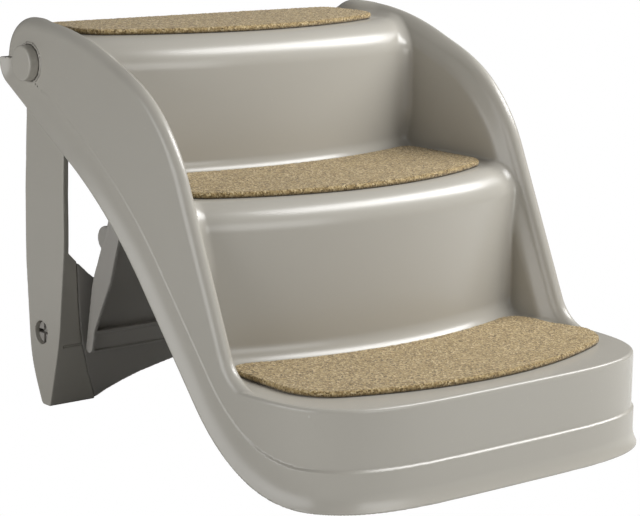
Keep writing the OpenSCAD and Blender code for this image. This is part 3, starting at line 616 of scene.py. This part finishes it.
def mixed(t, factor, a, b, blend="MIX"):
    n = t.nodes.new("ShaderNodeMix")
    n.data_type, n.blend_type = "RGBA", blend
    for k, v in ((0, factor), (6, a), (7, b)):
        if hasattr(v, "is_output"):
            t.links.new(v, n.inputs[k])
        else:
            n.inputs[k].default_value = v if k == 0 else (*v, 1)
    return n.outputs[2]


def bumped(t, height, strength, depth, under=None):
    n = t.nodes.new("ShaderNodeBump")
    n.inputs["Strength"].default_value = strength
    n.inputs["Distance"].default_value = depth
    t.links.new(height, n.inputs["Height"])
    if under is not None:
        t.links.new(under, n.inputs["Normal"])
    return n.outputs["Normal"]


def plastic(name, dark, light, rough, grain=260.0, grain_depth=0.00002):
    """Moulded plastic: faint flow tones, a fine grain and slight sink unevenness."""
    m, t, s, place = start(name)
    tone = mixed(t, mapped(t, noise(t, place, 5.0, 2.0), 0, 1, 0, 1), dark, light)
    t.links.new(tone, s.inputs["Base Color"])
    t.links.new(mapped(t, noise(t, place, 700.0, 2.0), rough - 0.005, rough + 0.007, 0, 1),
                s.inputs["Roughness"])
    sink = bumped(t, noise(t, place, 7.0, 0.0), 0.15, 0.0006)
    t.links.new(bumped(t, noise(t, place, grain, 1.0), 0.3, grain_depth, sink), s.inputs["Normal"])
    s.inputs["Specular IOR Level"].default_value = 0.5
    return m


def carpet(name, low):
    """Speckled tan needle-punch carpet, darker towards its lower edge: partly its dark backing, partly
    painted shade where the pad sits on the tread.
    """
    m, t, s, place = start(name)
    cells = t.nodes.new("ShaderNodeTexVoronoi")
    cells.inputs["Scale"].default_value = 640.0
    t.links.new(place, cells.inputs["Vector"])
    dots = t.nodes.new("ShaderNodeSeparateColor")
    t.links.new(cells.outputs["Color"], dots.inputs[0])
    shade = t.nodes.new("ShaderNodeValToRGB")
    t.links.new(dots.outputs[0], shade.inputs["Fac"])
    stops = ((0.0, (0.09, 0.058, 0.022)), (0.18, (0.20, 0.138, 0.058)), (0.5, (0.36, 0.260, 0.120)),
             (0.8, (0.49, 0.370, 0.185)), (1.0, (0.66, 0.54, 0.33)))
    while len(shade.color_ramp.elements) < len(stops):
        shade.color_ramp.elements.new(0.5)
    for e, (at, c) in zip(shade.color_ramp.elements, stops):
        e.position, e.color = at, (*c, 1)
    patch = mixed(t, mapped(t, noise(t, place, 55.0, 3.0), 0, 0.35), shade.outputs["Color"],
                  (0.39, 0.285, 0.135))
    split = t.nodes.new("ShaderNodeSeparateXYZ")
    t.links.new(place, split.inputs[0])
    # painted shade: the pad's side darkens towards its foot on the tread, partly for its dark backing and
    # partly standing in for the shade there
    edge = mapped(t, split.outputs["Z"], 0.85, 0.0, low / 1000 + 0.0002, low / 1000 + 0.0034)
    t.links.new(mixed(t, edge, patch, (0.045, 0.032, 0.018)), s.inputs["Base Color"])
    s.inputs["Roughness"].default_value = 1.0
    s.inputs["Specular IOR Level"].default_value = 0.1
    s.inputs["Sheen Weight"].default_value = 0.25
    s.inputs["Sheen Roughness"].default_value = 0.5
    tufts = bumped(t, cells.outputs["Distance"], 0.9, 0.0009)
    t.links.new(bumped(t, noise(t, place, 900.0, 3.0, 0.7), 0.9, 0.0006, tufts), s.inputs["Normal"])
    return m


def metal(name, colour, rough, scale):
    """Turned or plated metal with fine streaks and dull spots."""
    m, t, s, place = start(name)
    stretch = t.nodes.new("ShaderNodeMapping")
    stretch.inputs["Scale"].default_value = (0.1, 1.0, 1.0)
    t.links.new(place, stretch.inputs["Vector"])
    streak = noise(t, stretch.outputs[0], scale, 3.0)
    t.links.new(mixed(t, mapped(t, streak, 0, 1), colour, tuple(c * 0.7 for c in colour)),
                s.inputs["Base Color"])
    t.links.new(mapped(t, noise(t, place, 300.0, 3.0), rough, rough + 0.2), s.inputs["Roughness"])
    s.inputs["Metallic"].default_value = 1.0
    t.links.new(bumped(t, streak, 0.3, 0.00008), s.inputs["Normal"])
    return m


def rubber(name):
    m, t, s, place = start(name)
    t.links.new(mixed(t, mapped(t, noise(t, place, 120.0, 4.0), 0, 1), (0.028, 0.027, 0.026),
                      (0.060, 0.058, 0.055)), s.inputs["Base Color"])
    t.links.new(mapped(t, noise(t, place, 500.0), 0.7, 0.9), s.inputs["Roughness"])
    t.links.new(bumped(t, noise(t, place, 1500.0, 3.0), 0.6, 0.00015), s.inputs["Normal"])
    return m


BODY = plastic("body_plastic", (0.408, 0.388, 0.343), (0.420, 0.400, 0.355), 0.27)
FRAME = plastic("frame_plastic", (0.330, 0.315, 0.290), (0.348, 0.332, 0.305), 0.38, 400.0, 0.00004)
BRASS = metal("bush_brass", (0.62, 0.47, 0.24), 0.30, 900.0)
ZINC = metal("zinc_steel", (0.58, 0.58, 0.60), 0.28, 1200.0)
RUBBER = rubber("foot_rubber")


# Pieces
def place(thing, body, slot, material, *nodes):
    thing.data.materials.append(material)
    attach(thing, body)
    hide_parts(*nodes)


def box_beside(side, near, far, low, high):
    """The corners of a box on one side, from its nearest and farthest X."""
    first, last = sorted((side * near, side * far))
    return (first, *low), (last, *high)


for piece in moulded("body_shell", body_distance, (0, -4, -4), (228, 530, 401), 1.7, half=True):
    place(piece, "stairs", "body_plastic", BODY, "stair_body")

NO_NOSE = (0, 1e4, 1)
PADS = (("carpet_lower", "tread_pad_lower", 0, 186, 13, 31, 48, 30,
         behind_riser(RISER2_C, RISER2_R), NO_NOSE),
        ("carpet_middle", "tread_pad_middle", 1, 184, 0, 203, 52, 16,
         behind_riser(RISER3_C, RISER3_R), (RISER2_C, RISER2_R - NOSE2_R, NOSE2_R)),
        ("carpet_upper", "tread_pad_upper", 2, 184, 0, 376, 52, 20,
         lambda x, y: y - CROWN_Y + 3 + 0 * x, (RISER3_C, RISER3_R - NOSE3_R, NOSE3_R)))
TUFT, TUFT_MOST, TUFT_Z = 0.16, 0.4, (0.6, 1.6)
rng = np.random.default_rng(7)
for name, node, step, half, wide, front, bow, corner, rear, nose in PADS:
    low = TREAD_Z[step]

    def tufted(p, n):
        n = n / np.maximum(np.linalg.norm(n, axis=1), 1e-6)[:, None]
        lift = rng.normal(0, TUFT, len(p)) * ramp(p[:, 2], low + TUFT_Z[0], low + TUFT_Z[1])
        return p + n * np.clip(lift, -TUFT_MOST, TUFT_MOST)[:, None]
    pad = moulded(name, pad_distance(low, half, wide, front, bow, corner, rear, nose),
                  (-192, front - 6, low - 6), (204, front + 185, low + 13), 1.5, rough=tufted)
    place(pad, "stairs", "carpet", carpet(name + "_pile", low), node)

LEG_BOX = (138, 201, (442, -3), (527, 380))
STUD_BOX = (170, 194, (480, 60), (508, 88))
CAP_BOX = (181, 230, (454, 331), (496, 373))
for side, word in ((-1, "left"), (1, "right")):
    leg = moulded("leg_" + word + "_shell", leg_distance(side), *box_beside(side, *LEG_BOX), 1.35, 150000)
    place(leg, "leg_frame", "body_plastic", BODY, "leg_" + word)
    stud = moulded("stud_" + word, stud_distance(side), *box_beside(side, *STUD_BOX), 0.7)
    place(stud, "leg_frame", "frame_plastic", FRAME, "snap_stud_" + word)
    cap = moulded("cap_" + word, cap_distance(side), *box_beside(side, *CAP_BOX), 0.8)
    place(cap, "leg_frame", "body_plastic", BODY, "pivot_cap_" + word)
place(moulded("cross_panel_shell", panel_distance, (-188, 440, -3), (188, 530, 156), 1.7, 150000),
      "leg_frame", "frame_plastic", FRAME, "leg_cross_panel")
place(moulded("brace_shell", brace_distance, (-170, 372, 52), (170, 472, 246), 1.7, 150000),
      "brace", "frame_plastic", FRAME, "brace_panel")

KEPT = {BRASS: ("pivot_bush_left", "pivot_bush_right"),
        ZINC: ("pivot_washer_left", "pivot_washer_right", "pivot_screw_left", "pivot_screw_right",
               "brace_hinge_pin_left", "brace_hinge_pin_right", "brace_bracket_screws"),
        FRAME: ("brace_bracket_left", "brace_bracket_right"),
        RUBBER: ("leg_foot_pad_left", "leg_foot_pad_right", "base_foot_left", "base_foot_right")}
for material, nodes in KEPT.items():
    for node in nodes:
        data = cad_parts[node].data
        data.materials.clear()
        data.materials.append(material)


# Floor, light and camera
def flat_colour(name, shown, bounced):
    """Shows one plain colour to the camera and gives the object another to stand in."""
    m = bpy.data.materials.new(name)
    m.use_nodes = True
    t = m.node_tree
    t.nodes.clear()
    out = t.nodes.new("ShaderNodeOutputMaterial")
    mix = t.nodes.new("ShaderNodeMixShader")
    path = t.nodes.new("ShaderNodeLightPath")
    glow = t.nodes.new("ShaderNodeEmission")
    glow.inputs["Color"].default_value = (*shown, 1)
    matt = t.nodes.new("ShaderNodeBsdfDiffuse")
    matt.inputs["Color"].default_value = (*bounced, 1)
    t.links.new(path.outputs["Is Camera Ray"], mix.inputs[0])
    t.links.new(matt.outputs[0], mix.inputs[1])
    t.links.new(glow.outputs[0], mix.inputs[2])
    t.links.new(mix.outputs[0], out.inputs[0])
    return m


floor_mesh = bpy.data.meshes.new("floor")
floor_mesh.from_pydata([(-4, -4, 0), (4, -4, 0), (4, 4, 0), (-4, 4, 0)], [], [(0, 1, 2, 3)])
floor = bpy.data.objects.new("floor", floor_mesh)
floor.location.z = -0.0005
floor_mesh.materials.append(flat_colour("floor_white", (1, 1, 1), (0.72, 0.72, 0.71)))
bpy.context.scene.collection.objects.link(floor)
floor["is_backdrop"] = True

world = bpy.context.scene.world or bpy.data.worlds.new("world")
bpy.context.scene.world = world
world.use_nodes = True
t = world.node_tree
t.nodes.clear()
out = t.nodes.new("ShaderNodeOutputWorld")
mix = t.nodes.new("ShaderNodeMixShader")
path = t.nodes.new("ShaderNodeLightPath")
white, room = t.nodes.new("ShaderNodeBackground"), t.nodes.new("ShaderNodeBackground")
room.inputs["Color"].default_value = (0.93, 0.95, 1.0, 1)
room.inputs["Strength"].default_value = 0.05
t.links.new(path.outputs["Is Camera Ray"], mix.inputs[0])
t.links.new(room.outputs[0], mix.inputs[1])
t.links.new(white.outputs[0], mix.inputs[2])
white.inputs["Color"].default_value = (1, 1, 1, 1)
t.links.new(mix.outputs[0], out.inputs[0])


def softbox(name, at, along, size, energy, towards=(0, 0, 0.2)):
    """A soft lamp that faces a point, its length laid along a direction."""
    away = (Vector(at) - Vector(towards)).normalized()
    long_way = (Vector(along) - Vector(along).dot(away) * away).normalized()
    short_way = away.cross(long_way)
    lamp = bpy.data.lights.new(name, "AREA")
    lamp.shape, lamp.size, lamp.size_y, lamp.energy = "RECTANGLE", *size, energy
    thing = bpy.data.objects.new(name, lamp)
    thing.matrix_world = Matrix((
        (long_way.x, short_way.x, away.x, at[0]), (long_way.y, short_way.y, away.y, at[1]),
        (long_way.z, short_way.z, away.z, at[2]), (0, 0, 0, 1)))
    bpy.context.scene.collection.objects.link(thing)


softbox("key", (1.05, -0.55, 1.45), (0.73, 0.52, -0.44), (1.9, 0.55), 43)
softbox("front", (0.1, -2.3, 0.8), (1, 0, 0), (1.4, 0.9), 14.5)
softbox("left", (-2.5, 0.25, 0.6), (0, 1, 0), (2.4, 1.3), 34)

CAMERA_AT = (-1.3627, -1.6548, 0.6011)
TURN, DIP, ROLL = 0.6816, 0.1999, 0.0142
FOCAL, PICTURE_W, SENSOR_W = 2226.81, 640, 36.0
ahead = Vector((math.sin(TURN) * math.cos(DIP), math.cos(TURN) * math.cos(DIP), -math.sin(DIP)))
across = Vector((math.cos(TURN), -math.sin(TURN), 0))
upward = across.cross(ahead)
across, upward = (math.cos(ROLL) * across + math.sin(ROLL) * upward,
                  -math.sin(ROLL) * across + math.cos(ROLL) * upward)
lens = bpy.data.cameras.new("camera")
lens.sensor_fit, lens.sensor_width, lens.lens = "HORIZONTAL", SENSOR_W, FOCAL / PICTURE_W * SENSOR_W
lens.clip_start, lens.clip_end = 0.05, 20
camera = bpy.data.objects.new("camera", lens)
camera.matrix_world = Matrix((
    (across.x, upward.x, -ahead.x, CAMERA_AT[0]), (across.y, upward.y, -ahead.y, CAMERA_AT[1]),
    (across.z, upward.z, -ahead.z, CAMERA_AT[2]), (0, 0, 0, 1)))
bpy.context.scene.collection.objects.link(camera)
bpy.context.scene.camera = camera
bpy.context.scene.view_settings.view_transform = "Standard"

low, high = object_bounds()
